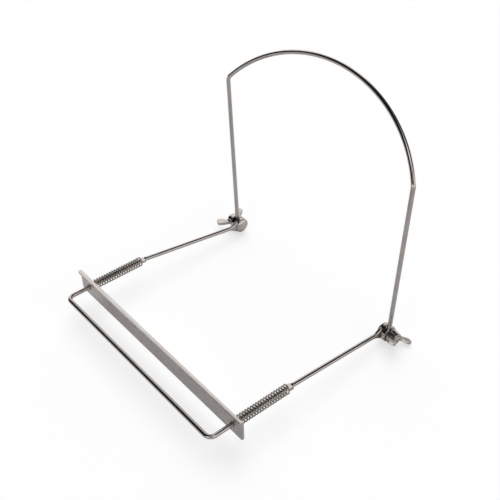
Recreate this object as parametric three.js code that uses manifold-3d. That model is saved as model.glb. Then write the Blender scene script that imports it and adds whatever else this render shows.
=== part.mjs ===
// Neck holder for a small wind instrument, bent from two plated steel wires.
// Millimetres, +Z up, -Y is the way the wearer faces, +X is the right of the holder seen from behind.
// The pieces are laid out round the pivot axis, which runs along X through both wing nut joints.
// The finished group is then set down with its origin at the middle of the neck loop.

import * as THREE from "three";
import { mergeVertices } from "three/addons/utils/BufferGeometryUtils.js";
import Module from "manifold-3d";

// Gaps between pieces that touch or run in each other
const seatGap = 0.3;
const boreClearance = 0.2;
const cutOverrun = 1;

// Wire stock of both frames, and the tenon turned on each wire end
const wireDiameter = 3.2;
const tenonDiameter = 1.6;
const tenonLength = 1.7;

// Clamp plate: a thin angle with its lip turned forward, and its reach past the middle of each rod
const plateLength = 189;
const plateBeyondRod = 10;
const plateThickness = 1.2;
const plateHeight = 17.9;
const lipDepth = 3.6;
const plateBendRadius = 0.6;
const plateCornerRadius = 2.2;
const lipCornerRadius = 1.2;
const rodToPlateTop = 10.5;
const rodHoleClearance = 0.9;
const slotDepth = 16.7;

// Clamp wire: two arms that rise to a kink, two level rods and the crossbar
const rodSpacing = plateLength - 2 * plateBeyondRod;
const rodRise = 10.9;
const kinkReach = 91.3;
const crossbarReach = 159.3;
const kinkBendRadius = 10;
const cornerBendRadius = 4.8;

// Flat swage that widens each arm end towards its eye
const swageWidth = 9;
const swageLength = 8;
const swageThickness = 2.4;

// Ears pressed flat from the rods, level, behind the springs
const earWidth = 5.6;
const earLength = 3.2;
const earThickness = 1.4;
const earCornerRadius = 0.8;
const earRunOut = 1;
const kinkToEar = 0.5;

// Neck wire: two upright legs that splay, and a loop that leans back
const legBeyondRod = 0.4;
const legSpacing = rodSpacing + 2 * legBeyondRod;
const legHeight = 130.9;
const loopHalfWidth = 103.2;
const loopHalfDepth = 86;
const loopRunIn = 4;
const neckBendRadius = 5.5;
const loopStartAngle = THREE.MathUtils.degToRad(30.7);
const loopLean = THREE.MathUtils.degToRad(29.9);

// Toothed eyes
const eyeDiameter = 12;
const eyeThickness = 2.8;
const toothHeight = 0.5;
const toothRingInnerDiameter = 8.2;
const toothRootDepth = 0.3;
const toothCount = 24;

// Pivot bolt with a domed head and a square neck
const boltDiameter = 5;
const boltHeadDiameter = 11.2;
const boltHeadRim = 0.3;
const boltHeadDome = 1.8;
const boltNeckWidth = 5;
const boltNeckLength = 2.4;
const boltEndBeyondNut = 0.9;
const boltEndChamfer = 0.5;

// Split washer
const washerDiameter = 9.2;
const washerThickness = 0.7;
const washerSplit = 0.8;

// Wing nut
const hubBaseDiameter = 10.5;
const hubTopDiameter = 8.4;
const hubHeight = 5.6;
const wingSpan = 25.4;
const wingHeight = 11.2;
const wingThickness = 2.2;
const wingRootRise = 1;
const wingRootReach = 3.4;
const wingTipRise = 5;
const wingNeckRise = 6.4;
const wingNeckReach = 5.4;
const wingTipInset = 3.2;
const wingTurnLeft = THREE.MathUtils.degToRad(5);
const wingTurnRight = THREE.MathUtils.degToRad(-30);

// Clamp springs
const springDiameter = 7.4;
const springWire = 1;
const springTurns = 20;
const springTail = 2.2;
const leftTailShare = 0.4;
const rightTailShare = 0.49;

// Faceting
const wireSides = 12;
const bendSteps = 6;
const loopSteps = 44;
const roundSides = 36;
const boreSides = 24;
const curlSteps = 8;
const curlSides = 5;
const domeSteps = 5;
const cornerSteps = 4;

// Finishes read from the photo
const finishes = {
  wire: { color: 0xc9c6c2, roughness: 0.16, metalness: 1 },
  plate: { color: 0xd6d0cf, roughness: 0.3, metalness: 1 },
  spring: { color: 0xb9b4ab, roughness: 0.22, metalness: 1 },
  fitting: { color: 0xcfcac4, roughness: 0.2, metalness: 1 },
};

const wasm = await Module();
wasm.setup();

// Turns an outline drawn in X and Y to Y and Z, its depth to X
const sideways = new THREE.Matrix4().makeBasis(
  new THREE.Vector3(0, 1, 0),
  new THREE.Vector3(0, 0, 1),
  new THREE.Vector3(1, 0, 0),
);

// A closed geometry as a solid that can be joined and cut
function toSolid(geometry) {
  const bare = geometry.clone();
  bare.deleteAttribute("normal");
  bare.deleteAttribute("uv");
  const merged = mergeVertices(bare, seatGap / 1000);
  return new wasm.Manifold(new wasm.Mesh({
    numProp: 3,
    vertProperties: new Float32Array(merged.attributes.position.array),
    triVerts: new Uint32Array(merged.index.array),
  }));
}

// A solid back as a geometry
function toGeometry(solid) {
  const mesh = solid.getMesh();
  const geometry = new THREE.BufferGeometry();
  geometry.setAttribute("position", new THREE.BufferAttribute(new Float32Array(mesh.vertProperties), 3));
  geometry.setIndex(new THREE.BufferAttribute(new Uint32Array(mesh.triVerts), 1));
  geometry.computeVertexNormals();
  return geometry;
}

function piece(name, finish, geometry) {
  const material = new THREE.MeshStandardMaterial(finishes[finish]);
  material.name = `${name}_finish`;
  const mesh = new THREE.Mesh(geometry, material);
  mesh.name = name;
  return mesh;
}

// A curve through listed stations, each a point with its own direction of travel.
// Extrusion takes one ring of the section at each station, so bends get more rings than straights.
class StationCurve extends THREE.Curve {
  constructor(stations) {
    super();
    this.stations = stations;
  }
  at(share, key) {
    const place = share * (this.stations.length - 1);
    const before = Math.min(Math.floor(place), this.stations.length - 2);
    const from = this.stations[before][key];
    return from.clone().lerp(this.stations[before + 1][key], place - before);
  }
  getPoint(share) {
    return this.at(share, "point");
  }
  getPointAt(share) {
    return this.at(share, "point");
  }
  getTangent(share) {
    return this.at(share, "travel").normalize();
  }
  getTangentAt(share) {
    return this.getTangent(share);
  }
}

function tubeAlong(stations, diameter, sides) {
  const section = new THREE.Shape().absarc(0, 0, diameter / 2, 0, 2 * Math.PI);
  return new THREE.ExtrudeGeometry(section, {
    steps: stations.length - 1,
    curveSegments: sides / 2,
    extrudePath: new StationCurve(stations),
  });
}

// A tube of an odd number of sides, for the spring wire
function oddTubeAlong(stations, diameter, sides) {
  const section = new THREE.Shape();
  for (let side = 0; side < sides; side += 1) {
    const turn = (2 * Math.PI * side) / sides;
    const x = (diameter / 2) * Math.cos(turn);
    const y = (diameter / 2) * Math.sin(turn);
    if (side === 0) {
      section.moveTo(x, y);
    } else {
      section.lineTo(x, y);
    }
  }
  section.closePath();
  return new THREE.ExtrudeGeometry(section, {
    steps: stations.length - 1,
    extrudePath: new StationCurve(stations),
  });
}

// Stations of a round bend between two straight runs that meet at a corner
function bendStations(before, corner, after, radius) {
  const into = corner.clone().sub(before).normalize();
  const out = after.clone().sub(corner).normalize();
  const turn = into.angleTo(out);
  const setback = radius * Math.tan(turn / 2);
  const start = corner.clone().addScaledVector(into, -setback);
  const side = out.clone().addScaledVector(into, -into.dot(out)).normalize();
  const stations = [];
  for (let step = 0; step <= bendSteps; step += 1) {
    const angle = (turn * step) / bendSteps;
    const point = start.clone()
      .addScaledVector(into, radius * Math.sin(angle))
      .addScaledVector(side, radius * (1 - Math.cos(angle)));
    const travel = into.clone().multiplyScalar(Math.cos(angle)).addScaledVector(side, Math.sin(angle));
    stations.push({ point, travel });
  }
  return stations;
}

function mirrored(stations) {
  return stations.map(({ point, travel }) => ({
    point: new THREE.Vector3(-point.x, point.y, point.z),
    travel: new THREE.Vector3(travel.x, -travel.y, -travel.z),
  })).reverse();
}

// A cylinder from one point to another
function rodBetween(from, to, diameter, sides) {
  const rod = new THREE.CylinderGeometry(diameter / 2, diameter / 2, from.distanceTo(to), sides);
  const travel = to.clone().sub(from).normalize();
  rod.applyQuaternion(new THREE.Quaternion().setFromUnitVectors(new THREE.Vector3(0, 1, 0), travel));
  const middle = from.clone().lerp(to, 0.5);
  return rod.translate(middle.x, middle.y, middle.z);
}

// The joint stack, as distances outward from the middle plane of the arm eyes
const eyeFace = eyeThickness / 2;
const eyePitch = eyeThickness + 2 * toothHeight + seatGap;
const headSeat = -(eyeFace + seatGap);
const washerFoot = eyePitch + eyeFace + seatGap;
const nutFoot = washerFoot + washerThickness + seatGap;
const boltEnd = nutFoot + hubHeight + boltEndBeyondNut;
const legX = legSpacing / 2;
const armX = legX - eyePitch;
const rodX = rodSpacing / 2;
const wireStart = eyeDiameter / 2 + seatGap;

// Key points of the right half of both wires
const armFoot = new THREE.Vector3(armX, 0, 0);
const kink = new THREE.Vector3(rodX, -kinkReach, rodRise);
const frontCorner = new THREE.Vector3(rodX, -crossbarReach, rodRise);
const armTravel = kink.clone().sub(armFoot).normalize();

const loopLift = (angle) => {
  const across = loopHalfWidth * Math.sin(angle);
  const along = loopHalfDepth * Math.cos(angle);
  return new THREE.Vector2(-across, along).normalize();
};
const runInTravel = loopLift(loopStartAngle);
const loopStartX = loopHalfWidth * Math.cos(loopStartAngle);
const neckCornerX = loopStartX - loopRunIn * runInTravel.x;
const loopCentreRise = loopRunIn * runInTravel.y - loopHalfDepth * Math.sin(loopStartAngle);
const loopUp = new THREE.Vector3(0, Math.sin(loopLean), Math.cos(loopLean));
const neckCorner = new THREE.Vector3(neckCornerX, 0, legHeight);
const legFoot = new THREE.Vector3(legX, 0, 0);
const legTravel = neckCorner.clone().sub(legFoot).normalize();

// A point of the loop, from a distance across and a distance up its leaning plane
function onLoop(across, up) {
  return new THREE.Vector3(across, 0, legHeight).addScaledVector(loopUp, up);
}

const loopTop = onLoop(0, loopCentreRise + loopHalfDepth);

function withTenon(wire, start, travel) {
  const tip = start.clone().addScaledVector(travel, -tenonLength);
  const root = start.clone().addScaledVector(travel, wireDiameter);
  return wire.add(toSolid(rodBetween(tip, root, tenonDiameter, wireSides)));
}

// Widening of an arm's end: a flat blade in the plane of its eye, hollowed to the eye's rim
function withSwage(wire, foot, travel) {
  const outline = new THREE.Shape();
  const root = eyeDiameter / 3;
  const waist = (eyeDiameter + swageLength) / 2;
  const end = wireStart + swageLength;
  outline.moveTo(root, -swageWidth / 2);
  outline.quadraticCurveTo(waist, -wireDiameter / 2, end, -wireDiameter / 4);
  outline.lineTo(end, wireDiameter / 4);
  outline.quadraticCurveTo(waist, wireDiameter / 2, root, swageWidth / 2);
  outline.closePath();
  const blade = new THREE.ExtrudeGeometry(outline, {
    depth: swageThickness,
    bevelEnabled: false,
    curveSegments: bendSteps,
  }).translate(0, 0, -swageThickness / 2);
  const across = new THREE.Vector3(1, 0, 0);
  across.addScaledVector(travel, -travel.x).normalize();
  const flank = across.clone().cross(travel);
  blade.applyMatrix4(new THREE.Matrix4().makeBasis(travel, flank, across));
  const hollow = disc(eyeDiameter + 2 * seatGap, 2 * wireDiameter, 2 * toothCount).rotateY(Math.PI / 2);
  const shaped = toSolid(blade).subtract(toSolid(hollow));
  return wire.add(shaped.translate(foot.x, foot.y, foot.z));
}

// Flattening of a rod behind its spring: pressed from above and below, the metal spread to both sides
const earRear = -kinkReach - kinkToEar;
const earFront = earRear - earLength;

function withEar(wire, rodSide) {
  const half = earThickness / 2;
  const far = wireDiameter;
  const press = new THREE.Shape();
  press.moveTo(earFront, half);
  press.lineTo(earRear, half);
  press.lineTo(earRear + (earRunOut * (far - half)) / (wireDiameter / 2 - half), far);
  press.lineTo(earFront - (earRunOut * (far - half)) / (wireDiameter / 2 - half), far);
  press.closePath();
  const upper = new THREE.ExtrudeGeometry(press, { depth: 2 * wireDiameter, bevelEnabled: false })
    .translate(0, 0, -wireDiameter)
    .applyMatrix4(sideways);
  const lower = upper.clone().rotateY(Math.PI);
  let solid = wire;
  for (const tool of [upper, lower]) {
    solid = solid.subtract(toSolid(tool.translate(rodSide * rodX, 0, rodRise)));
  }
  const r = earCornerRadius;
  const wide = earWidth / 2 - r;
  const long = earLength / 2 - r;
  const outline = new THREE.Shape();
  outline.absarc(wide, long, r, 0, Math.PI / 2);
  outline.absarc(-wide, long, r, Math.PI / 2, Math.PI);
  outline.absarc(-wide, -long, r, Math.PI, 1.5 * Math.PI);
  outline.absarc(wide, -long, r, 1.5 * Math.PI, 2 * Math.PI);
  outline.closePath();
  const ear = new THREE.ExtrudeGeometry(outline, {
    depth: earThickness,
    bevelEnabled: false,
    curveSegments: cornerSteps,
  }).translate(rodSide * rodX, (earFront + earRear) / 2, rodRise - half);
  return solid.add(toSolid(ear));
}

const flipped = (point) => new THREE.Vector3(-point.x, point.y, point.z);

// Clamp wire: arms, rods and crossbar in one length
function clampWire() {
  const start = armFoot.clone().addScaledVector(armTravel, wireStart);
  const half = [
    { point: start, travel: armTravel },
    ...bendStations(start, kink, frontCorner, kinkBendRadius),
    ...bendStations(kink, frontCorner, flipped(frontCorner), cornerBendRadius),
  ];
  const stations = [...half, ...mirrored(half)];
  let wire = toSolid(tubeAlong(stations, wireDiameter, wireSides));
  for (const rodSide of [-1, 1]) {
    const towards = (point) => (rodSide < 0 ? flipped(point) : point.clone());
    wire = withTenon(wire, towards(start), towards(armTravel));
    wire = withSwage(wire, towards(armFoot), towards(armTravel));
    wire = withEar(wire, rodSide);
  }
  return toGeometry(wire);
}

// Neck wire: legs and loop in one length
function neckWire() {
  const start = legFoot.clone().addScaledVector(legTravel, wireStart);
  const loopStart = onLoop(loopStartX, loopRunIn * runInTravel.y);
  const half = [
    { point: start, travel: legTravel },
    ...bendStations(start, neckCorner, loopStart, neckBendRadius),
  ];
  const loop = [];
  for (let step = 0; step <= loopSteps; step += 1) {
    const angle = loopStartAngle + ((Math.PI - 2 * loopStartAngle) * step) / loopSteps;
    const lift = loopLift(angle);
    const up = loopCentreRise + loopHalfDepth * Math.sin(angle);
    loop.push({
      point: onLoop(loopHalfWidth * Math.cos(angle), up),
      travel: new THREE.Vector3(lift.x, 0, 0).addScaledVector(loopUp, lift.y),
    });
  }
  const stations = [...half, ...loop, ...mirrored(half)];
  const wire = toSolid(tubeAlong(stations, wireDiameter, wireSides));
  const left = withTenon(wire, flipped(start), flipped(legTravel));
  return toGeometry(withTenon(left, start, legTravel));
}

// A ring of radial teeth, its crests facing +Z
function toothRing() {
  const radii = [toothRingInnerDiameter / 2, eyeDiameter / 2];
  const ridges = 2 * toothCount;
  const positions = [];
  const faces = [];
  for (let ridge = 0; ridge < ridges; ridge += 1) {
    const turn = (2 * Math.PI * ridge) / ridges;
    const crest = ridge % 2 === 0 ? toothHeight : 0;
    for (const radius of radii) {
      positions.push(radius * Math.cos(turn), radius * Math.sin(turn), -toothRootDepth);
      positions.push(radius * Math.cos(turn), radius * Math.sin(turn), crest);
    }
  }
  const corners = { innerRoot: 0, innerCrest: 1, outerRoot: 2, outerCrest: 3 };
  const { innerRoot, innerCrest, outerRoot, outerCrest } = corners;
  const walls = [
    [innerRoot, innerCrest],
    [innerCrest, outerCrest],
    [outerCrest, outerRoot],
    [outerRoot, innerRoot],
  ];
  for (let ridge = 0; ridge < ridges; ridge += 1) {
    const here = walls.length * ridge;
    const next = walls.length * ((ridge + 1) % ridges);
    for (const [low, high] of walls) {
      faces.push(here + low, here + high, next + high, here + low, next + high, next + low);
    }
  }
  const ring = new THREE.BufferGeometry();
  ring.setAttribute("position", new THREE.BufferAttribute(new Float32Array(positions), 3));
  ring.setIndex(faces);
  return ring;
}

function disc(diameter, thickness, sides) {
  return new THREE.CylinderGeometry(diameter / 2, diameter / 2, thickness, sides).rotateX(Math.PI / 2);
}

// A toothed eye whose teeth face outward (+1) or inward (-1) on the side (+1 right, -1 left)
function eye(side, facing, squareHole, travel) {
  let body = toSolid(disc(eyeDiameter, eyeThickness, 2 * toothCount));
  body = body.add(toSolid(toothRing().translate(0, 0, eyeFace)));
  const through = 2 * (eyeThickness + cutOverrun);
  const width = boltNeckWidth + 2 * boreClearance;
  const hole = squareHole
    ? new THREE.BoxGeometry(width, width, through)
    : disc(boltDiameter + 2 * boreClearance, through, boreSides);
  body = body.subtract(toSolid(hole));
  const turned = toGeometry(body).rotateY((side * facing * Math.PI) / 2);
  const mouth = travel.clone().multiplyScalar(eyeDiameter / 2 + cutOverrun);
  const floor = travel.clone().multiplyScalar(wireStart - tenonLength - seatGap);
  const socket = rodBetween(floor, mouth, tenonDiameter + 2 * boreClearance, wireSides);
  return toGeometry(toSolid(turned).subtract(toSolid(socket)));
}

// A bolt along +Z: domed head below, square neck, round shank
function pivotBolt() {
  const domeRadius = ((boltHeadDiameter / 2) ** 2 + boltHeadDome ** 2) / (2 * boltHeadDome);
  const domeSpread = Math.asin(boltHeadDiameter / 2 / domeRadius);
  const head = [new THREE.Vector2(0, headSeat - boltHeadRim - boltHeadDome)];
  for (let step = 1; step <= domeSteps; step += 1) {
    const angle = (domeSpread * step) / domeSteps;
    const drop = domeRadius * (1 - Math.cos(angle));
    head.push(new THREE.Vector2(domeRadius * Math.sin(angle), headSeat - boltHeadRim - boltHeadDome + drop));
  }
  head.push(new THREE.Vector2(boltHeadDiameter / 2, headSeat));
  head.push(new THREE.Vector2(boltDiameter / 2, headSeat));
  head.push(new THREE.Vector2(boltDiameter / 2, boltEnd - boltEndChamfer));
  head.push(new THREE.Vector2(boltDiameter / 2 - boltEndChamfer, boltEnd));
  head.push(new THREE.Vector2(0, boltEnd));
  const turned = new THREE.LatheGeometry(head, roundSides).rotateX(Math.PI / 2);
  const neck = new THREE.BoxGeometry(boltNeckWidth, boltNeckWidth, boltNeckLength)
    .translate(0, 0, headSeat - boltHeadRim / 2 + boltNeckLength / 2);
  return toGeometry(toSolid(turned).add(toSolid(neck)));
}

// A split washer lying on +Z
function lockWasher() {
  const ring = toSolid(disc(washerDiameter, washerThickness, roundSides));
  const hole = toSolid(disc(boltDiameter + 2 * boreClearance, washerThickness + cutOverrun, boreSides));
  const slit = new THREE.BoxGeometry(washerDiameter, washerSplit, washerThickness + cutOverrun)
    .translate(washerDiameter / 2, 0, 0);
  const cut = ring.subtract(hole).subtract(toSolid(slit));
  return toGeometry(cut).translate(0, 0, washerThickness / 2);
}

// One wing as a paddle in the plane of local Y and Z
function wing() {
  const tip = wingSpan / 2;
  const outline = new THREE.Shape();
  outline.moveTo(wingRootReach, wingRootRise);
  outline.quadraticCurveTo(hubBaseDiameter / 2, wingRootRise, tip - wingTipInset / 2, wingTipRise);
  outline.quadraticCurveTo(tip + wingTipInset / 4, wingTipRise + wingTipInset / 2, tip, wingHeight - wingTipInset);
  outline.quadraticCurveTo(tip - wingTipInset / 2, wingHeight + wingTipInset / 4, tip - wingTipInset, wingHeight);
  outline.quadraticCurveTo(wingNeckReach + wingTipInset / 2, wingHeight, wingNeckReach, wingNeckRise);
  outline.quadraticCurveTo(wingNeckReach - wingTipInset / 2, hubHeight, wingRootReach, hubHeight - wingRootRise);
  outline.closePath();
  const paddle = new THREE.ExtrudeGeometry(outline, {
    depth: wingThickness,
    bevelEnabled: false,
    curveSegments: cornerSteps,
  });
  return paddle.translate(0, 0, -wingThickness / 2);
}

// A wing nut standing on its base, axis +Z, wings along local Y
function wingNut() {
  const hub = new THREE.CylinderGeometry(hubTopDiameter / 2, hubBaseDiameter / 2, hubHeight, roundSides)
    .rotateX(Math.PI / 2)
    .translate(0, 0, hubHeight / 2);
  const bore = disc(boltDiameter + 2 * boreClearance, 2 * (hubHeight + cutOverrun), boreSides);
  const oneWing = wing().applyMatrix4(sideways);
  const otherWing = oneWing.clone().rotateZ(Math.PI);
  const solid = toSolid(hub).add(toSolid(oneWing)).add(toSolid(otherWing));
  return toGeometry(solid.subtract(toSolid(bore)));
}

// Clamp plate, built about the middle of its top rear edge
const wallFront = -crossbarReach + wireDiameter / 2 + slotDepth;
const wallRear = wallFront + plateThickness;

function clampPlate() {
  const outer = plateBendRadius + plateThickness;
  const section = new THREE.Shape();
  section.moveTo(0, -plateHeight);
  section.lineTo(0, -outer);
  section.absarc(-outer, -outer, outer, 0, Math.PI / 2);
  section.lineTo(-lipDepth, 0);
  section.lineTo(-lipDepth, -plateThickness);
  section.lineTo(-outer, -plateThickness);
  section.absarc(-outer, -outer, plateBendRadius, Math.PI / 2, 0, true);
  section.lineTo(-plateThickness, -plateHeight);
  section.closePath();
  const angle = new THREE.ExtrudeGeometry(section, {
    depth: plateLength,
    bevelEnabled: false,
    curveSegments: cornerSteps,
  }).translate(0, 0, -plateLength / 2).applyMatrix4(sideways);

  const front = new THREE.Shape();
  const reach = plateLength / 2;
  const floor = -plateHeight;
  front.moveTo(-reach, cutOverrun);
  front.lineTo(-reach, floor + plateCornerRadius);
  front.absarc(-reach + plateCornerRadius, floor + plateCornerRadius, plateCornerRadius, Math.PI, 1.5 * Math.PI);
  front.lineTo(reach - plateCornerRadius, floor);
  front.absarc(reach - plateCornerRadius, floor + plateCornerRadius, plateCornerRadius, 1.5 * Math.PI, 2 * Math.PI);
  front.lineTo(reach, cutOverrun);
  front.closePath();
  const frontBlank = new THREE.ExtrudeGeometry(front, {
    depth: 2 * (lipDepth + cutOverrun),
    bevelEnabled: false,
    curveSegments: cornerSteps,
  }).translate(0, 0, -lipDepth - cutOverrun).rotateX(Math.PI / 2);

  const above = new THREE.Shape();
  above.moveTo(-reach, cutOverrun);
  above.lineTo(-reach, -lipDepth + lipCornerRadius);
  above.absarc(-reach + lipCornerRadius, -lipDepth + lipCornerRadius, lipCornerRadius, Math.PI, 1.5 * Math.PI);
  above.lineTo(reach - lipCornerRadius, -lipDepth);
  above.absarc(reach - lipCornerRadius, -lipDepth + lipCornerRadius, lipCornerRadius, 1.5 * Math.PI, 2 * Math.PI);
  above.lineTo(reach, cutOverrun);
  above.closePath();
  const topBlank = new THREE.ExtrudeGeometry(above, {
    depth: 2 * (plateHeight + cutOverrun),
    bevelEnabled: false,
    curveSegments: cornerSteps,
  }).translate(0, 0, -plateHeight - cutOverrun);

  let solid = toSolid(angle).intersect(toSolid(frontBlank)).intersect(toSolid(topBlank));
  for (const side of [-1, 1]) {
    const hole = rodBetween(
      new THREE.Vector3(side * rodX, -lipDepth, -rodToPlateTop),
      new THREE.Vector3(side * rodX, cutOverrun, -rodToPlateTop),
      wireDiameter + 2 * rodHoleClearance,
      boreSides,
    );
    solid = solid.subtract(toSolid(hole));
  }
  return toGeometry(solid);
}

const springFront = wallRear + seatGap;
const springLength = earFront - seatGap - springFront;

// Stations of one spring along Y, with a straight tail that leaves the last curl
function springStations(endShare) {
  const radius = (springDiameter - springWire) / 2;
  const rise = (springLength - springWire) / (2 * Math.PI * springTurns);
  const last = springTurns * curlSteps;
  const stations = [];
  for (let step = 0; step <= last; step += 1) {
    const turn = (2 * Math.PI * step) / curlSteps;
    const angle = turn + 2 * Math.PI * (endShare - springTurns);
    stations.push({
      point: new THREE.Vector3(radius * Math.cos(angle), springWire / 2 + rise * turn, radius * Math.sin(angle)),
      travel: new THREE.Vector3(-radius * Math.sin(angle), rise, radius * Math.cos(angle)).normalize(),
    });
  }
  const end = stations[last];
  const level = new THREE.Vector3(end.travel.x, 0, end.travel.z).normalize();
  stations.push({ point: end.point.clone().addScaledVector(level, springTail), travel: level });
  return stations;
}

// The least space between one pass of the wire and the next, measured on points of the wire's axis
function leastGap(stations) {
  let least = Infinity;
  const apart = curlSteps / 2;
  for (let one = 0; one < stations.length; one += 1) {
    for (let other = one + apart; other < stations.length; other += 1) {
      least = Math.min(least, stations[one].point.distanceTo(stations[other].point));
    }
  }
  return least - springWire;
}

function clampSpring(name, endShare) {
  const stations = springStations(endShare);
  console.log(`${name}: least gap between turns ${leastGap(stations).toFixed(2)} mm`);
  return piece(name, "spring", oddTubeAlong(stations, springWire, curlSides));
}

// Assembly
const holder = new THREE.Group();
holder.position.copy(loopTop).negate();
holder.add(piece("neck_wire", "wire", neckWire()));
holder.add(piece("clamp_wire", "wire", clampWire()));

for (const [sideName, side, wingTurn] of [["left", -1, wingTurnLeft], ["right", 1, wingTurnRight]]) {
  const towards = (point) => new THREE.Vector3(side * point.x, point.y, point.z);

  const armEye = piece(`arm_eye_${sideName}`, "fitting", eye(side, 1, true, towards(armTravel)));
  armEye.position.set(side * armX, 0, 0);
  holder.add(armEye);

  const legEye = piece(`leg_eye_${sideName}`, "fitting", eye(side, -1, false, towards(legTravel)));
  legEye.position.set(side * legX, 0, 0);
  holder.add(legEye);

  // Stack of the joint, its local +Z pointing outward
  const stack = new THREE.Group();
  stack.position.set(side * armX, 0, 0);
  stack.rotation.y = (side * Math.PI) / 2;
  stack.add(piece(`pivot_bolt_${sideName}`, "fitting", pivotBolt()));
  const washer = piece(`lock_washer_${sideName}`, "fitting", lockWasher());
  washer.position.z = washerFoot;
  stack.add(washer);
  const nut = piece(`wing_nut_${sideName}`, "fitting", wingNut());
  nut.position.z = nutFoot;
  nut.rotation.z = side * wingTurn;
  stack.add(nut);
  holder.add(stack);

  // Pieces on the rod, laid along world Y
  const onRod = new THREE.Group();
  onRod.position.set(side * rodX, 0, rodRise);
  const endShare = side < 0 ? leftTailShare : rightTailShare;
  const spring = clampSpring(`clamp_spring_${sideName}`, endShare);
  spring.position.y = springFront;
  onRod.add(spring);
  holder.add(onRod);
}

const plate = piece("clamp_plate", "plate", clampPlate());
plate.position.set(0, wallRear, rodRise + rodToPlateTop);
holder.add(plate);

export default holder;
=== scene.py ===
import math
import bmesh
import bpy
from mathutils import Matrix, Vector


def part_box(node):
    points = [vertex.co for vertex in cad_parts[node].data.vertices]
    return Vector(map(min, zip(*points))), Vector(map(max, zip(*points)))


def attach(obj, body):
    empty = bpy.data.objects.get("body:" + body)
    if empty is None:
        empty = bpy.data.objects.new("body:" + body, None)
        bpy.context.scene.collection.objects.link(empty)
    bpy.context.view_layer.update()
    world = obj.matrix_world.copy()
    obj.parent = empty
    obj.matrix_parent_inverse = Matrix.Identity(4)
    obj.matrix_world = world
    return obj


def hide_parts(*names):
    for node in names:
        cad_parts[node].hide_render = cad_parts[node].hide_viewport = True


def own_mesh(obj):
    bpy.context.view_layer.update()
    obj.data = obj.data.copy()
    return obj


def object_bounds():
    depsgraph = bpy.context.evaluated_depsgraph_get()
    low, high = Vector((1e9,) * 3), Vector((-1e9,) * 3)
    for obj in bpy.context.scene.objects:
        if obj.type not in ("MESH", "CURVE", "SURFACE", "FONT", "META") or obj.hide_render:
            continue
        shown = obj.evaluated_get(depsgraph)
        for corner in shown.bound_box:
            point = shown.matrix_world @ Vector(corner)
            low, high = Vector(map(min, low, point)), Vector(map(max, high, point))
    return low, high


# A wire neck holder in bright nickel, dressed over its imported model.
# Metres, +Z up, -Y is the way the wearer faces, origin at the middle of the neck loop.
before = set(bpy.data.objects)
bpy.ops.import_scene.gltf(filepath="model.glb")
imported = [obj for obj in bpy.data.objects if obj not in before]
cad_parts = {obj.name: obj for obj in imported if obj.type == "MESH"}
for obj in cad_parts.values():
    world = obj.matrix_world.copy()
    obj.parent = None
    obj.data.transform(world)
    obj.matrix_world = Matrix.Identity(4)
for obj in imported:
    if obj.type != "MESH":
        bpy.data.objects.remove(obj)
cad_low, cad_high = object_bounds()


# Neck wire
# One length of drawn steel rod, bent cold and then nickel plated. The two legs stand on the joints and
# splay out a little, and the loop that lies on the shoulders leans back from them. Each foot is brazed to
# its eye.
wire_diameter = 0.0032
eye_diameter = 0.012
eye_thickness = 0.0028
leg_height = 0.1309
leg_spacing = 0.1698
loop_half_width = 0.1032
loop_half_depth = 0.086
loop_run_in = 0.004
loop_start_angle = math.radians(30.7)
loop_lean = math.radians(29.9)
neck_bend_radius = 0.0055
foot_sink = 0.0004
round_sides = 32
nickel_tone = (0.68, 0.63, 0.6, 1)
nickel_shade = (0.6, 0.555, 0.53, 1)

eye_low, eye_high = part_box("leg_eye_right")
pivot = Vector((0, (eye_low.y + eye_high.y) / 2, (eye_low.z + eye_high.z) / 2))
wire_radius = wire_diameter / 2


def smooth_share(share):
    share = min(max(share, 0), 1)
    return share * share * (3 - 2 * share)


def bend_stations(before, corner, after, radius, steps=16):
    """Places along a round bend between two straight runs, each with its direction of travel."""
    into = (corner - before).normalized()
    out = (after - corner).normalized()
    turn = into.angle(out)
    side = (out - into * into.dot(out)).normalized()
    start = corner - into * radius * math.tan(turn / 2)
    stations = []
    for step in range(steps + 1):
        angle = turn * step / steps
        point = start + into * radius * math.sin(angle) + side * radius * (1 - math.cos(angle))
        stations.append((point, into * math.cos(angle) + side * math.sin(angle)))
    return stations


def straight_stations(start, end, steps):
    """Places along a straight run, both ends left out."""
    travel = (end - start).normalized()
    return [(start.lerp(end, step / steps), travel) for step in range(1, steps)]


def mirrored(stations):
    """The same stretch on the left, walked the other way."""
    flip = Vector((-1, 1, 1))
    return [(point * flip, -travel * flip) for point, travel in reversed(stations)]


def finished(name, mesh, material, sharp_angle=35):
    """A named object of the mesh, smooth but for its sharp edges, with its finish."""
    mesh.polygons.foreach_set("use_smooth", [True] * len(mesh.polygons))
    mesh.set_sharp_from_angle(angle=math.radians(sharp_angle))
    piece = bpy.data.objects.new(name, mesh)
    bpy.context.scene.collection.objects.link(piece)
    piece.data.materials.append(material)
    return piece


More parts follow.
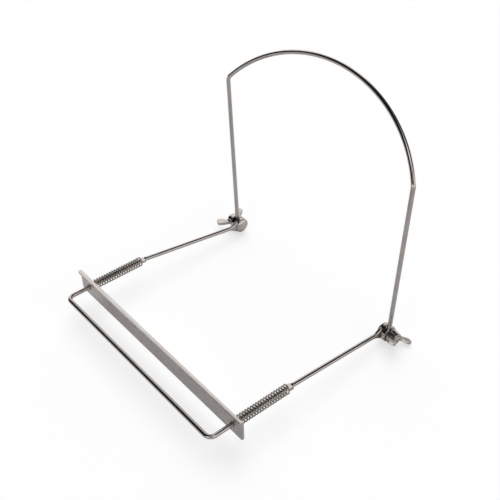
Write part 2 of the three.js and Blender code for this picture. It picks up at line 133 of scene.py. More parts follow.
def wire_mesh(name, stations, crosswise, half_sizes, roundness=lambda along: 2, sides=round_sides):
    """Skin over a bent wire. half_sizes gives the section's half width and half height at a distance
    along the wire, and roundness 2 is an ellipse, more is boxier. U goes round and V along the wire."""
    mesh = bpy.data.meshes.new(name)
    skin = bmesh.new()
    uv = skin.loops.layers.uv.new("wire")
    rings = []
    distances = []
    along = 0
    last = stations[0][0]
    for point, travel in stations:
        along += (point - last).length
        last = point
        side = travel.cross(crosswise).normalized()
        rise = side.cross(travel).normalized()
        half_width, half_height = half_sizes(along)
        power = 2 / roundness(along)
        ring = []
        for step in range(sides):
            angle = 2 * math.pi * step / sides
            across = math.copysign(abs(math.cos(angle)) ** power, math.cos(angle)) * half_width
            up = math.copysign(abs(math.sin(angle)) ** power, math.sin(angle)) * half_height
            ring.append(skin.verts.new(point + side * across + rise * up))
        rings.append(ring)
        distances.append(along)
    for number in range(len(rings) - 1):
        for step in range(sides):
            after = (step + 1) % sides
            here = rings[number]
            ahead = rings[number + 1]
            corners = (here[step], here[after], ahead[after], ahead[step])
            face = skin.faces.new(corners)
            places = (
                (step, number),
                (step + 1, number),
                (step + 1, number + 1),
                (step, number + 1),
            )
            for loop, (turned, station) in zip(face.loops, places):
                loop[uv].uv = (turned / sides, distances[station] / (math.pi * wire_diameter))
    skin.faces.new(rings[0])
    skin.faces.new(list(reversed(rings[-1])))
    bmesh.ops.recalc_face_normals(skin, faces=skin.faces)
    skin.to_mesh(mesh)
    skin.free()
    return mesh


def bright_nickel(
    name, tone, shade, gloss, smudged, coordinates="Object", scale=(1, 1, 1), grain=60, depth=0.02
):
    """Nickel plate over steel: a slow change of tone, smudges in its gloss and a fine polishing grain."""
    cloud_scale = 90
    smudge_scale = 260
    grain_height = 0.0002
    material = bpy.data.materials.new(name)
    material.use_nodes = True
    nodes = material.node_tree.nodes
    links = material.node_tree.links
    surface = nodes["Principled BSDF"]
    surface.inputs["Metallic"].default_value = 1
    places = nodes.new("ShaderNodeTexCoord")
    stretch = nodes.new("ShaderNodeMapping")
    stretch.inputs["Scale"].default_value = scale
    links.new(places.outputs[coordinates], stretch.inputs["Vector"])

    clouds = nodes.new("ShaderNodeTexNoise")
    clouds.inputs["Scale"].default_value = cloud_scale
    clouds.inputs["Detail"].default_value = 3
    links.new(places.outputs["Object"], clouds.inputs["Vector"])
    tint = nodes.new("ShaderNodeValToRGB")
    tint.color_ramp.elements[0].position = 0.35
    tint.color_ramp.elements[0].color = shade
    tint.color_ramp.elements[1].position = 0.65
    tint.color_ramp.elements[1].color = tone
    links.new(clouds.outputs["Fac"], tint.inputs["Fac"])
    links.new(tint.outputs["Color"], surface.inputs["Base Color"])

    smudges = nodes.new("ShaderNodeTexNoise")
    smudges.inputs["Scale"].default_value = smudge_scale
    smudges.inputs["Detail"].default_value = 4
    links.new(places.outputs["Object"], smudges.inputs["Vector"])
    polish = nodes.new("ShaderNodeMapRange")
    polish.inputs["From Min"].default_value = 0.35
    polish.inputs["From Max"].default_value = 0.7
    polish.inputs["To Min"].default_value = gloss
    polish.inputs["To Max"].default_value = smudged
    links.new(smudges.outputs["Fac"], polish.inputs["Value"])
    links.new(polish.outputs["Result"], surface.inputs["Roughness"])

    lines = nodes.new("ShaderNodeTexNoise")
    lines.inputs["Scale"].default_value = grain
    lines.inputs["Detail"].default_value = 2
    links.new(stretch.outputs["Vector"], lines.inputs["Vector"])
    relief = nodes.new("ShaderNodeBump")
    relief.inputs["Strength"].default_value = depth
    relief.inputs["Distance"].default_value = grain_height
    links.new(lines.outputs["Fac"], relief.inputs["Height"])
    links.new(relief.outputs["Normal"], surface.inputs["Normal"])
    return material


wire_nickel = bright_nickel(
    "wire_nickel",
    nickel_tone,
    nickel_shade,
    gloss=0.05,
    smudged=0.12,
    coordinates="UV",
    scale=(1, 0.02, 1),
    grain=40,
)


def loop_rise(angle):
    """Direction of the loop at an angle of its ellipse, across and up its own leaning plane."""
    return Vector((-loop_half_width * math.sin(angle), loop_half_depth * math.cos(angle))).normalized()


run_in = loop_rise(loop_start_angle)
loop_up = Vector((0, math.sin(loop_lean), math.cos(loop_lean)))
neck_corner_x = loop_half_width * math.cos(loop_start_angle) - loop_run_in * run_in.x
loop_centre_rise = loop_run_in * run_in.y - loop_half_depth * math.sin(loop_start_angle)
leg_foot = pivot + Vector((leg_spacing / 2, 0, 0))
neck_corner = Vector((neck_corner_x, pivot.y, pivot.z + leg_height))
leg_travel = (neck_corner - leg_foot).normalized()


def on_loop(across, up):
    return Vector((across, pivot.y, pivot.z + leg_height)) + loop_up * up


leg_start = leg_foot + leg_travel * (eye_diameter / 2 - foot_sink)
loop_start = on_loop(loop_half_width * math.cos(loop_start_angle), loop_run_in * run_in.y)
neck_bend = bend_stations(leg_start, neck_corner, loop_start, neck_bend_radius)
half_neck = [(leg_start, leg_travel)]
half_neck += straight_stations(leg_start, neck_bend[0][0], 16)
half_neck += neck_bend
loop_steps = 160
neck_loop = []
for step in range(loop_steps + 1):
    angle = loop_start_angle + (math.pi - 2 * loop_start_angle) * step / loop_steps
    rise = loop_rise(angle)
    point = on_loop(loop_half_width * math.cos(angle), loop_centre_rise + loop_half_depth * math.sin(angle))
    neck_loop.append((point, (Vector((rise.x, 0, 0)) + loop_up * rise.y).normalized()))
neck_stations = half_neck + neck_loop + mirrored(half_neck)


neck_mesh = wire_mesh("neck_rod", neck_stations, Vector((0, 1, 0)), lambda along: (wire_radius, wire_radius))
neck_rod = finished("neck_rod", neck_mesh, wire_nickel)
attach(neck_rod, "neck_frame")
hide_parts("neck_wire")


# Clamp wire
# The second length of the same rod: two arms that climb a little to a kink, two level rods that the plate
# slides on, and the crossbar across the front. Each arm's end is swaged flat and widens into its eye, and
# behind each spring the rod is pinched from above and below into a flat ear that stops the spring.
rod_spacing = 0.169
rod_rise = 0.0109
kink_reach = 0.0913
crossbar_reach = 0.1593
kink_bend_radius = 0.01
corner_bend_radius = 0.0048
swage_width = 0.009
swage_length = 0.008
swage_thickness = 0.0026
swage_sink = 0.002
kink_to_ear = 0.0005
ear_length = 0.0032
ear_width = 0.0056
ear_thickness = 0.0014
ear_run_out = 0.001
ear_corner = 0.0008

arm_eye_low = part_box("arm_eye_right")[0]
arm_x = arm_eye_low.x + eye_thickness / 2
rod_x = rod_spacing / 2
arm_foot = Vector((arm_x, pivot.y, pivot.z))
kink = Vector((rod_x, pivot.y - kink_reach, pivot.z + rod_rise))
front_corner = Vector((rod_x, pivot.y - crossbar_reach, pivot.z + rod_rise))
arm_travel = (kink - arm_foot).normalized()
arm_start = arm_foot + arm_travel * (eye_diameter / 2 - swage_sink)
ear_rear = pivot.y - kink_reach - kink_to_ear
ear_front = ear_rear - ear_length

kink_bend = bend_stations(arm_start, kink, front_corner, kink_bend_radius)
corner_bend = bend_stations(kink, front_corner, front_corner * Vector((-1, 1, 1)), corner_bend_radius)
swage_end = arm_start + arm_travel * (swage_sink + swage_length)
past_ear = Vector((rod_x, ear_front - 2 * ear_run_out, kink.z))
half_clamp = [(arm_start, arm_travel)]
half_clamp += straight_stations(arm_start, swage_end, 32)
half_clamp += straight_stations(swage_end, kink_bend[0][0], 12)
half_clamp += kink_bend
half_clamp += straight_stations(kink_bend[-1][0], past_ear, 48)
half_clamp += straight_stations(past_ear, corner_bend[0][0], 10)
half_clamp += corner_bend
across_front = straight_stations(corner_bend[-1][0], corner_bend[-1][0] * Vector((-1, 1, 1)), 24)
clamp_stations = half_clamp + across_front + mirrored(half_clamp)
clamp_length = sum((here[0] - there[0]).length for here, there in zip(clamp_stations, clamp_stations[1:]))
ear_middle_y = (ear_front + ear_rear) / 2


def along_to(stations, y):
    """Distance along the wire at which it first passes a place on Y."""
    along = 0
    for here, there in zip(stations, stations[1:]):
        if there[0].y <= y:
            return along + (here[0].y - y)
        along += (there[0] - here[0]).length
    return along


ear_along = along_to(half_clamp, ear_middle_y)


def swage_share(along):
    """0 on the round rod, 1 at an arm's end."""
    return 1 - smooth_share(min(along, clamp_length - along) / (swage_sink + swage_length))


def ear_share(along):
    """0 on the round rod, 1 on the flat of an ear."""
    off = abs(min(along, clamp_length - along) - ear_along)
    return 1 - smooth_share((off - ear_length / 2) / ear_run_out)


def clamp_half_sizes(along):
    half_width = wire_radius + (swage_thickness / 2 - wire_radius) * swage_share(along)
    half_height = wire_radius + (swage_width / 2 - wire_radius) * swage_share(along) ** 2
    half_height += (ear_thickness / 2 - wire_radius) * ear_share(along)
    off = abs(min(along, clamp_length - along) - ear_along)
    beyond_flat = max(off - (ear_length / 2 - ear_corner), 0)
    if beyond_flat < ear_corner:
        drop = ear_corner - math.sqrt(ear_corner ** 2 - beyond_flat ** 2)
        half_width = max(half_width, ear_width / 2 - drop)
    return half_width, half_height


clamp_mesh = wire_mesh(
    "clamp_rod",
    clamp_stations,
    Vector((0, 0, 1)),
    clamp_half_sizes,
    roundness=lambda along: 2 + 3 * max(ear_share(along), swage_share(along)),
)
clamp_rod = finished("clamp_rod", clamp_mesh, wire_nickel)
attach(clamp_rod, "arm_frame")
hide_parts("clamp_wire")


# Toothed eyes
# Four turned steel discs, one brazed on each wire end. The faces that meet have a ring of radial teeth,
# so that the joint holds its angle once the nut is tight. The arm's eye has a square hole for the bolt.
tooth_height = 0.0005
tooth_count = 24
tooth_ring_radius = 0.0041
eye_bevel = 0.00025
bolt_diameter = 0.005
bolt_neck_width = 0.005
bore_clearance = 0.0002
fitting_tone = (0.7, 0.655, 0.62, 1)
fitting_shade = (0.58, 0.54, 0.51, 1)

fitting_nickel = bright_nickel(
    "fitting_nickel", fitting_tone, fitting_shade, gloss=0.1, smudged=0.28, grain=2600, depth=0.06
)


def turned_mesh(name, profile, sides, closed=False, shaped=None):
    """A mesh turned about +Z from (radius, height) places. shaped may move a place at an angle."""
    mesh = bpy.data.meshes.new(name)
    skin = bmesh.new()
    rings = []
    for radius, height in profile:
        if radius == 0:
            rings.append([skin.verts.new((0, 0, height))])
            continue
        ring = []
        for step in range(sides):
            angle = 2 * math.pi * step / sides
            r, h = shaped(angle, radius, height) if shaped else (radius, height)
            ring.append(skin.verts.new((r * math.cos(angle), r * math.sin(angle), h)))
        rings.append(ring)
    pairs = list(zip(rings, rings[1:]))
    if closed:
        pairs.append((rings[-1], rings[0]))
    for one, other in pairs:
        for step in range(sides):
            after = (step + 1) % sides
            corners = []
            for ring, place in ((one, step), (one, after), (other, after), (other, step)):
                corner = ring[place % len(ring)]
                if corner not in corners:
                    corners.append(corner)
            skin.faces.new(corners)
    bmesh.ops.recalc_face_normals(skin, faces=skin.faces)
    skin.to_mesh(mesh)
    skin.free()
    return mesh


def set_on_joint(mesh, side, x, turn=0):
    """Moves a mesh made about +Z to the pivot line, +Z pointing outward on the side 1 right or -1 left."""
    outward = Matrix.Rotation(side * math.pi / 2, 4, "Y") @ Matrix.Rotation(turn, 4, "Z")
    mesh.transform(Matrix.Translation((side * x, pivot.y, pivot.z)) @ outward)
    return mesh


def eye_mesh(name, square_hole):
    """A disc with a ring of teeth on its +Z face."""
    rim = eye_diameter / 2
    face = eye_thickness / 2
    bore = bolt_diameter / 2 + bore_clearance
    profile = [
        (bore, -face),
        (rim - eye_bevel, -face),
        (rim, -face + eye_bevel),
        (rim, face - eye_bevel),
        (rim - eye_bevel / 4, face + tooth_height),
        (tooth_ring_radius + eye_bevel / 2, face + tooth_height),
        (tooth_ring_radius, face),
        (bore, face),
    ]

    def shaped(angle, radius, height):
        if radius <= bore:
            half = bolt_neck_width / 2 + bore_clearance
            square = half / max(abs(math.cos(angle)), abs(math.sin(angle)))
            return (square if square_hole else radius), height
        if height > face:
            place = (angle * tooth_count / (2 * math.pi)) % 1
            height = face + tooth_height * (1 - abs(2 * place - 1))
        return radius, height

    return turned_mesh(name, profile, 8 * tooth_count, closed=True, shaped=shaped)


leg_x = leg_spacing / 2
for side_name, side in (("left", -1), ("right", 1)):
    arm_disc = set_on_joint(eye_mesh("arm_disc", True), side, arm_x)
    arm_disc = finished(f"arm_disc_{side_name}", arm_disc, fitting_nickel, 25)
    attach(arm_disc, "arm_frame")
    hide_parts(f"arm_eye_{side_name}")

    leg_disc = eye_mesh("leg_disc", False)
    leg_disc.transform(Matrix.Rotation(math.pi, 4, "X"))
    leg_disc = finished(f"leg_disc_{side_name}", set_on_joint(leg_disc, side, leg_x), fitting_nickel, 25)
    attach(leg_disc, "neck_frame")
    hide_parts(f"leg_eye_{side_name}")


# Pivot bolts
# One on each side, with a low domed head on the inner side of the arm, a square neck that the arm's eye
# holds, and a threaded end that shows past the nut. Nickel plated like the rest.
seat_gap = 0.0003
head_diameter = 0.0112
head_rim = 0.0003
head_dome = 0.0018
head_round = 0.0001
thread_pitch = 0.0008
thread_depth = 0.00035
end_chamfer = 0.0005
dimple_radius = 0.0011
dimple_depth = 0.0005

bolt_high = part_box("pivot_bolt_right")[1]
head_seat = -(eye_thickness / 2 + seat_gap)
bolt_end = bolt_high.x - arm_x
nut_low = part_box("wing_nut_right")[0]
nut_foot = nut_low.x - arm_x


def bolt_mesh(name):
    dome_radius = ((head_diameter / 2) ** 2 + head_dome ** 2) / (2 * head_dome)
    dome_spread = math.asin(head_diameter / 2 / dome_radius)
    head = [(0, head_seat - head_rim - head_dome)]
    dome_steps = 20
    for step in range(1, dome_steps + 1):
        angle = dome_spread * step / dome_steps
        height = head_seat - head_rim - head_dome + dome_radius * (1 - math.cos(angle))
        head.append((dome_radius * math.sin(angle), height))
    head.append((head_diameter / 2, head_seat - head_round))
    head.append((head_diameter / 2 - head_round, head_seat))
    head.append((bolt_diameter / 2, head_seat))
    thread_start = nut_foot
    head.append((bolt_diameter / 2 - thread_depth / 2, thread_start))
    thread_length = bolt_end - end_chamfer - thread_start
    steps = round(thread_length / (thread_pitch / 8))
    for step in range(steps + 1):
        head.append((bolt_diameter / 2, thread_start + thread_length * step / steps))
    head.append((bolt_diameter / 2 - thread_depth - end_chamfer / 2, bolt_end))
    head.append((dimple_radius, bolt_end))
    head.append((0, bolt_end - dimple_depth))

    def shaped(angle, radius, height):
        if height > thread_start and radius == bolt_diameter / 2:
            place = (height / thread_pitch - angle / (2 * math.pi)) % 1
            radius -= thread_depth * abs(2 * place - 1)
        return radius, height

    return turned_mesh(name, head, 64, shaped=shaped)


for side_name, side in (("left", -1), ("right", 1)):
    bolt = finished(f"bolt_{side_name}", set_on_joint(bolt_mesh("bolt"), side, arm_x), fitting_nickel)
    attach(bolt, "arm_frame")
    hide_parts(f"pivot_bolt_{side_name}")


# Lock washers
# A split ring of square spring wire under each nut. Its cut ends stand a little apart and off the level.
washer_outer = 0.0046
washer_inner = 0.0027
washer_thickness = 0.0007
washer_split = 0.0008
washer_lift = 0.0001
washer_low, washer_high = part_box("lock_washer_right")


def washer_mesh(name):
    mesh = bpy.data.meshes.new(name)
    skin = bmesh.new()
    bevel = washer_thickness / 6
    flat = washer_thickness / 2 - washer_lift
    section = [
        (washer_inner, -flat + bevel),
        (washer_inner + bevel, -flat),
        (washer_outer - bevel, -flat),
        (washer_outer, -flat + bevel),
        (washer_outer, flat - bevel),
        (washer_outer - bevel, flat),
        (washer_inner + bevel, flat),
        (washer_inner, flat - bevel),
    ]
    half_split = math.asin(washer_split / (washer_inner + washer_outer))
    steps = 96
    rings = []
    for step in range(steps + 1):
        share = step / steps
        angle = half_split + (2 * math.pi - 2 * half_split) * share
        lift = washer_lift * (2 * share - 1)
        ring = [skin.verts.new((r * math.cos(angle), r * math.sin(angle), h + lift)) for r, h in section]
        rings.append(ring)
    for one, other in zip(rings, rings[1:]):
        for place in range(len(section)):
            after = (place + 1) % len(section)
            skin.faces.new((one[place], one[after], other[after], other[place]))
    skin.faces.new(rings[0])
    skin.faces.new(list(reversed(rings[-1])))
    bmesh.ops.recalc_face_normals(skin, faces=skin.faces)
    skin.to_mesh(mesh)
    skin.free()
    return mesh


for side_name, side in (("left", -1), ("right", 1)):
    split_ring = set_on_joint(washer_mesh("split_ring"), side, (washer_low.x + washer_high.x) / 2)
    split_ring = finished(f"split_ring_{side_name}", split_ring, fitting_nickel, 25)
    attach(split_ring, "neck_frame")
    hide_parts(f"lock_washer_{side_name}")


# Wing nuts
# Hot pressed in one piece and plated: a tapered hub with two ears that lean out past its end, every
# corner rounded by the dies. They clamp the joints by hand.
hub_base_radius = 0.00525
hub_top_radius = 0.0042
hub_height = 0.0056
wing_span = 0.0254
wing_height = 0.0112
wing_thickness = 0.0022
wing_root_rise = 0.001
wing_root_reach = 0.0034
wing_tip_rise = 0.005
wing_neck_rise = 0.0064
wing_neck_reach = 0.0054
wing_tip_inset = 0.0032
wing_turns = {"left": math.radians(5), "right": math.radians(-30)}
press_grain = 0.00022


def quadratic(start, control, end, steps=10):
    places = []
    for step in range(1, steps + 1):
        share = step / steps
        places.append(start * (1 - share) ** 2 + control * 2 * share * (1 - share) + end * share ** 2)
    return places


def wing_outline():
    """One wing in the plane of the hub's axis: distance from the axis, then height."""
    tip = wing_span / 2
    top = wing_height - wing_tip_inset
    places = [Vector((wing_root_reach, wing_root_rise))]
    for control, end in (
        ((hub_base_radius, wing_root_rise), (tip - wing_tip_inset / 2, wing_tip_rise)),
        ((tip + wing_tip_inset / 4, wing_tip_rise + wing_tip_inset / 2), (tip, top)),
        ((tip - wing_tip_inset / 2, wing_height + wing_tip_inset / 4), (tip - wing_tip_inset, wing_height)),
        ((wing_neck_reach + wing_tip_inset / 2, wing_height), (wing_neck_reach, wing_neck_rise)),
        ((wing_neck_reach - wing_tip_inset / 2, hub_height), (wing_root_reach, hub_height - wing_root_rise)),
    ):
        places += quadratic(places[-1], Vector(control), Vector(end))
    return places


def plate_from_outline(name, outline, thickness):
    """A flat plate in the Y-Z plane, centred on X."""
    mesh = bpy.data.meshes.new(name)
    skin = bmesh.new()
    faces = []
    for x in (-thickness / 2, thickness / 2):
        faces.append([skin.verts.new((x, place.x, place.y)) for place in outline])
    skin.faces.new(faces[0])
    skin.faces.new(list(reversed(faces[1])))
    for place in range(len(outline)):
        after = (place + 1) % len(outline)
        skin.faces.new((faces[0][place], faces[1][place], faces[1][after], faces[0][after]))
    bmesh.ops.recalc_face_normals(skin, faces=skin.faces)
    bmesh.ops.triangulate(skin, faces=[face for face in skin.faces if len(face.verts) > 4])
    skin.to_mesh(mesh)
    skin.free()
    return mesh


def applied(piece):
    """The piece's mesh with its modifiers worked in."""
    bpy.context.view_layer.update()
    depsgraph = bpy.context.evaluated_depsgraph_get()
    mesh = bpy.data.meshes.new_from_object(piece.evaluated_get(depsgraph))
    bpy.data.objects.remove(piece)
    return mesh


def wing_nut_mesh(name):
    hub = turned_mesh(
        "hub",
        [(0, 0), (hub_base_radius, 0), (hub_top_radius, hub_height), (0, hub_height)],
        96,
    )
    body = bpy.data.objects.new(name, hub)
    bpy.context.scene.collection.objects.link(body)
    joined = bmesh.new()
    joined.from_mesh(hub)
    for turn in (0, math.pi):
        wing = plate_from_outline("wing", wing_outline(), wing_thickness)
        wing.transform(Matrix.Rotation(turn, 4, "Z"))
        joined.from_mesh(wing)
    joined.to_mesh(hub)
    joined.free()
    pressed = body.modifiers.new("pressed", "REMESH")
    pressed.mode = "VOXEL"
    pressed.voxel_size = press_grain
    rounded = body.modifiers.new("rounded", "SMOOTH")
    rounded.factor = 0.5
    rounded.iterations = 8
    blank = bpy.data.objects.new("blank", applied(body))
    bpy.context.scene.collection.objects.link(blank)
    drill_radius = bolt_diameter / 2 + bore_clearance
    drill = turned_mesh(
        "drill",
        [
            (0, -hub_height),
            (drill_radius, -hub_height),
            (drill_radius, hub_height - bore_clearance),
            (drill_radius + 2 * bore_clearance, hub_height + bore_clearance),
            (drill_radius + 2 * bore_clearance, 2 * hub_height),
            (0, 2 * hub_height),
        ],
        64,
    )
    drill = bpy.data.objects.new("drill", drill)
    bpy.context.scene.collection.objects.link(drill)
    bored = blank.modifiers.new("bored", "BOOLEAN")
    bored.operation = "DIFFERENCE"
    bored.object = drill
    mesh = applied(blank)
    bpy.data.objects.remove(drill)
    return mesh


for side_name, side in (("left", -1), ("right", 1)):
    nut = set_on_joint(wing_nut_mesh("nut"), side, nut_low.x, side * wing_turns[side_name])
    nut = finished(f"nut_{side_name}", nut, fitting_nickel, 50)
    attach(nut, f"wing_nut_{side_name}")
    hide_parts(f"wing_nut_{side_name}")


# Clamp plate
# Punched from 1.2 mm steel with rounded corners and a hole near each end, then folded: a tall wall, and a
# narrow lip turned forward along its top. It slides on the two rods, and the springs push it forward.
plate_length = 0.189
plate_thickness = 0.0012
plate_height = 0.0179
lip_depth = 0.0036
plate_bend_radius = 0.0006
plate_corner_radius = 0.0022
lip_corner_radius = 0.0012
rod_to_plate_top = 0.0105
rod_hole_radius = 0.0025
plate_edge_round = 0.00045
plate_tone = (0.78, 0.725, 0.7, 1)
plate_shade = (0.73, 0.675, 0.65, 1)

plate_low, plate_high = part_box("clamp_plate")
plate_nickel = bright_nickel(
    "plate_nickel",
    plate_tone,
    plate_shade,
    gloss=0.24,
    smudged=0.3,
    scale=(0.05, 1, 1),
    grain=4000,
    depth=0.007,
)
outer_bend = plate_bend_radius + plate_thickness
fold_start = plate_height - outer_bend
fold_length = outer_bend * math.pi / 2
flat_depth = fold_start + fold_length + lip_depth - outer_bend


def rounded_corner(centre, radius, start, steps=8):
    """Places on a quarter turn from a start angle, anticlockwise."""
    angles = [start + math.pi / 2 * step / steps for step in range(steps + 1)]
    return [(centre[0] + radius * math.cos(a), centre[1] + radius * math.sin(a)) for a in angles]


def folded(x, up):
    """Place on the outer skin of the folded plate from a place on the flat blank."""
    if up <= fold_start:
        return Vector((x, plate_high.y, plate_low.z + up))
    angle = min((up - fold_start) / outer_bend, math.pi / 2)
    y = plate_high.y - outer_bend * (1 - math.cos(angle))
    z = plate_low.z + fold_start + outer_bend * math.sin(angle)
    beyond = max(up - fold_start - fold_length, 0)
    return Vector((x, y - beyond, z))


def plate_mesh(name):
    half = plate_length / 2
    low = plate_corner_radius
    high = flat_depth - lip_corner_radius
    outline = rounded_corner((half - low, low), low, -math.pi / 2)
    outline += rounded_corner((half - lip_corner_radius, high), lip_corner_radius, 0)
    outline += rounded_corner((-half + lip_corner_radius, high), lip_corner_radius, math.pi / 2)
    outline += rounded_corner((-half + low, low), low, math.pi)
    hole_up = plate_height - rod_to_plate_top
    blank = bpy.data.curves.new(name, "CURVE")
    blank.dimensions = "2D"
    blank.fill_mode = "BOTH"
    hole_sides = 48
    rings = [outline]
    for side in (-1, 1):
        ring = []
        for step in range(hole_sides):
            angle = 2 * math.pi * step / hole_sides
            x = side * rod_x + rod_hole_radius * math.cos(angle)
            ring.append((x, hole_up + rod_hole_radius * math.sin(angle)))
        rings.append(ring)
    for ring in rings:
        spline = blank.splines.new("POLY")
        spline.points.add(len(ring) - 1)
        for point, place in zip(spline.points, ring):
            point.co = (place[0], place[1], 0, 1)
        spline.use_cyclic_u = True
    punched = bpy.data.objects.new(name, blank)
    bpy.context.scene.collection.objects.link(punched)
    sheet = applied(punched)
    skin = bmesh.new()
    skin.from_mesh(sheet)
    bmesh.ops.remove_doubles(skin, verts=skin.verts, dist=plate_edge_round / 100)
    fold_steps = 10
    for step in range(fold_steps + 1):
        line = fold_start + fold_length * step / fold_steps
        everything = skin.verts[:] + skin.edges[:] + skin.faces[:]
        bmesh.ops.bisect_plane(skin, geom=everything, plane_co=(0, line, 0), plane_no=(0, 1, 0))
    for vert in skin.verts:
        vert.co = folded(vert.co.x, vert.co.y)
    bmesh.ops.recalc_face_normals(skin, faces=skin.faces)
    skin.normal_update()
    wall = [face for face in skin.faces if abs(face.normal.y) > 0.99]
    if wall[0].normal.y < 0:
        bmesh.ops.reverse_faces(skin, faces=skin.faces)
    skin.to_mesh(sheet)
    skin.free()
    body = bpy.data.objects.new(name, sheet)
    bpy.context.scene.collection.objects.link(body)
    thick = body.modifiers.new("thick", "SOLIDIFY")
    thick.thickness = plate_thickness
    thick.offset = -1
    thick.use_even_offset = True
    broken = body.modifiers.new("broken edges", "BEVEL")
    broken.width = plate_edge_round
    broken.segments = 4
    broken.limit_method = "ANGLE"
    broken.angle_limit = math.radians(50)
    return applied(body)


plate = finished("plate", plate_mesh("plate"), plate_nickel, 40)
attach(plate, "clamp_plate")
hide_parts("clamp_plate")


# Clamp springs
# Two open coils of 1 mm spring wire, slipped over the rods between the plate and the ears. The last curl
# ends in a short straight tail.
spring_diameter = 0.0074
spring_wire = 0.001
spring_turns = 20
spring_tail = 0.0022
tail_shares = {"left": 0.4, "right": 0.49}
spring_tone = (0.5, 0.455, 0.41, 1)
spring_shade = (0.38, 0.345, 0.31, 1)

spring_nickel = bright_nickel(
    "spring_nickel",
    spring_tone,
    spring_shade,
    gloss=0.05,
    smudged=0.11,
    coordinates="UV",
    scale=(1, 0.05, 1),
    grain=20,
)
spring_front = plate_high.y
spring_rear = ear_front
spring_length = spring_rear - spring_front


def spring_stations(side_x, end_share):
    radius = (spring_diameter - spring_wire) / 2
    rise = (spring_length - spring_wire) / (2 * math.pi * spring_turns)
    steps = 28
    stations = []
    for step in range(spring_turns * steps + 1):
        turn = 2 * math.pi * step / steps
        angle = turn + 2 * math.pi * (end_share - spring_turns)
        y = spring_front + spring_wire / 2 + rise * turn
        point = Vector((side_x + radius * math.cos(angle), y, kink.z + radius * math.sin(angle)))
        travel = Vector((-radius * math.sin(angle), rise, radius * math.cos(angle))).normalized()
        stations.append((point, travel))
    level = (stations[-1][1] * Vector((1, 0, 1))).normalized()
    stations.append((stations[-1][0] + level * spring_tail, level))
    return stations


for side_name, side in (("left", -1), ("right", 1)):
    coil = wire_mesh(
        f"coil_{side_name}",
        spring_stations(side * rod_x, tail_shares[side_name]),
        Vector((0, 1, 0)),
        lambda along: (spring_wire / 2, spring_wire / 2),
        sides=12,
    )
    coil = finished(f"coil_{side_name}", coil, spring_nickel)
    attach(coil, "arm_frame")
    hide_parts(f"clamp_spring_{side_name}")
    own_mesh(coil)


# Table and light
# A pale table, white to the camera, with a painted glow that only the metal shows: painted shade on the near
# side and painted light that rises to white towards the far side. One broad soft light overhead, and a white
# room with five unlit patches in it, each a direction, its outer angle and its inner angle. They were placed
# so that the bright metal shows dark lines where the photograph has them.
camera_azimuth = math.radians(51.12)
camera_elevation = math.radians(39.39)
table_reach = 3
table_grey = 0.45
# Painted glow seen in the metal: its strength on the near side, painted shade, and the distance over which
# it rises to white, painted light.
near_painted_shade = 0.14
painted_light_reach = 0.4
table_brightness = 1.08
wall_lit = 0.95
wall_unlit = 0.01
unlit_patches = (
    ((-0.42, -0.72, 0.55), 38, 28),
    ((-0.38, -0.2, 0.9), 36, 26),
    ((-0.86, -0.46, 0.24), 32, 20),
    ((0.18, 0.66, 0.73), 38, 28),
    ((0.6, -0.485, 0.635), 28, 18),
)
camera_side = Vector((math.sin(camera_azimuth), -math.cos(camera_azimuth), 0))

table_mesh = bpy.data.meshes.new("table")
corners = [(-table_reach, -table_reach), (table_reach, -table_reach), (table_reach, table_reach)]
corners.append((-table_reach, table_reach))
table_mesh.from_pydata([(x, y, cad_low.z) for x, y in corners], [], [(0, 1, 2, 3)])
table = bpy.data.objects.new("table", table_mesh)
bpy.context.scene.collection.objects.link(table)

table_paint = bpy.data.materials.new("table_paint")
table_paint.use_nodes = True
nodes = table_paint.node_tree.nodes
links = table_paint.node_tree.links
nodes.clear()
seen = nodes.new("ShaderNodeLightPath")
matt = nodes.new("ShaderNodeBsdfDiffuse")
matt.inputs["Color"].default_value = (table_grey, table_grey, table_grey, 1)
lift = nodes.new("ShaderNodeEmission")
places = nodes.new("ShaderNodeTexCoord")
across = nodes.new("ShaderNodeVectorMath")
across.operation = "DOT_PRODUCT"
across.inputs[1].default_value = -camera_side
links.new(places.outputs["Object"], across.inputs[0])
# Painted light in the metal's reflections: the table's glow is dim on the near side, painted shade, and
# rises to full on the far side, painted light.
painted_glow_ramp = nodes.new("ShaderNodeMapRange")
painted_glow_ramp.inputs["From Min"].default_value = 0
painted_glow_ramp.inputs["From Max"].default_value = painted_light_reach
painted_glow_ramp.inputs["To Min"].default_value = near_painted_shade
painted_glow_ramp.inputs["To Max"].default_value = 1
links.new(across.outputs["Value"], painted_glow_ramp.inputs["Value"])
painted_glow_in_metal = nodes.new("ShaderNodeMath")
painted_glow_in_metal.operation = "MULTIPLY"
links.new(seen.outputs["Is Glossy Ray"], painted_glow_in_metal.inputs[0])
links.new(painted_glow_ramp.outputs["Result"], painted_glow_in_metal.inputs[1])
shown = nodes.new("ShaderNodeMath")
shown.operation = "MAXIMUM"
links.new(seen.outputs["Is Camera Ray"], shown.inputs[0])
links.new(painted_glow_in_metal.outputs["Value"], shown.inputs[1])
share_seen = nodes.new("ShaderNodeMath")
share_seen.operation = "MULTIPLY"
share_seen.inputs[1].default_value = table_brightness - table_grey
links.new(shown.outputs["Value"], share_seen.inputs[0])
links.new(share_seen.outputs["Value"], lift.inputs["Strength"])
both = nodes.new("ShaderNodeAddShader")
links.new(matt.outputs["BSDF"], both.inputs[0])
links.new(lift.outputs["Emission"], both.inputs[1])
out = nodes.new("ShaderNodeOutputMaterial")
links.new(both.outputs["Shader"], out.inputs["Surface"])
table_mesh.materials.append(table_paint)

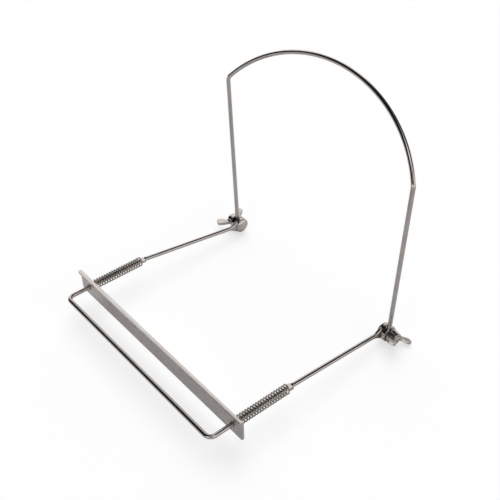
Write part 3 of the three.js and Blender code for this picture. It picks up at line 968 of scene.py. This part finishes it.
room = bpy.data.worlds.new("room")
bpy.context.scene.world = room
room.use_nodes = True
nodes = room.node_tree.nodes
links = room.node_tree.links
nodes.clear()
seen = nodes.new("ShaderNodeLightPath")
places = nodes.new("ShaderNodeTexCoord")
unlit = None
for toward, edge, core in unlit_patches:
    nearness = nodes.new("ShaderNodeVectorMath")
    nearness.operation = "DOT_PRODUCT"
    nearness.inputs[1].default_value = Vector(toward).normalized()
    links.new(places.outputs["Generated"], nearness.inputs[0])
    patch = nodes.new("ShaderNodeMapRange")
    patch.interpolation_type = "SMOOTHSTEP"
    patch.inputs["From Min"].default_value = math.cos(math.radians(edge))
    patch.inputs["From Max"].default_value = math.cos(math.radians(core))
    links.new(nearness.outputs["Value"], patch.inputs["Value"])
    darker = nodes.new("ShaderNodeMath")
    darker.operation = "MAXIMUM"
    darker.inputs[1].default_value = 0
    links.new(patch.outputs["Result"], darker.inputs[0])
    if unlit:
        links.new(unlit.outputs["Value"], darker.inputs[1])
    unlit = darker
walls = nodes.new("ShaderNodeMix")
walls.data_type = "RGBA"
walls.inputs["A"].default_value = (wall_lit, wall_lit, wall_lit, 1)
walls.inputs["B"].default_value = (wall_unlit, wall_unlit, wall_unlit, 1)
links.new(unlit.outputs["Value"], walls.inputs["Factor"])
backdrop = nodes.new("ShaderNodeMix")
backdrop.data_type = "RGBA"
backdrop.inputs["B"].default_value = (1, 1, 1, 1)
links.new(walls.outputs["Result"], backdrop.inputs["A"])
links.new(seen.outputs["Is Camera Ray"], backdrop.inputs["Factor"])
shine = nodes.new("ShaderNodeBackground")
links.new(backdrop.outputs["Result"], shine.inputs["Color"])
out = nodes.new("ShaderNodeOutputWorld")
links.new(shine.outputs["Background"], out.inputs["Surface"])

softbox_strength = 1.7
softbox_spread = math.radians(60)
softbox_from = Vector((-0.35, 0.3, 1))
softbox_light = bpy.data.lights.new("softbox", "SUN")
softbox_light.energy = softbox_strength
softbox_light.angle = softbox_spread
softbox = bpy.data.objects.new("softbox", softbox_light)
softbox.visible_glossy = False
bpy.context.scene.collection.objects.link(softbox)
softbox.rotation_mode = "QUATERNION"
softbox.rotation_quaternion = softbox_from.to_track_quat("Z", "Y")

bpy.context.scene.view_settings.view_transform = "Standard"


# Camera
# At the photograph's angle, with the lens and the small roll that its perspective gives.
camera_roll = math.radians(-1.14)
camera_distance = 0.59212
camera_right = 0.03356
camera_up = 0.00452
lens_pixels = 894.78
photo_width = 500
aim = Vector((0, pivot.y - 0.0993, pivot.z + 0.0709))

lens = bpy.data.cameras.new("camera")
lens.sensor_width = 36
lens.lens = lens_pixels * lens.sensor_width / photo_width
lens.clip_start = 0.01
camera = bpy.data.objects.new("camera", lens)
bpy.context.scene.collection.objects.link(camera)
back = camera_side * math.cos(camera_elevation) + Vector((0, 0, math.sin(camera_elevation)))
level_right = Vector((math.cos(camera_azimuth), math.sin(camera_azimuth), 0))
level_up = back.cross(level_right)
right = level_right * math.cos(camera_roll) + level_up * math.sin(camera_roll)
up = level_up * math.cos(camera_roll) - level_right * math.sin(camera_roll)
stand = Matrix((right, up, back)).transposed().to_4x4()
stand.translation = aim + right * camera_right + up * camera_up + back * camera_distance
camera.matrix_world = stand
bpy.context.scene.camera = camera
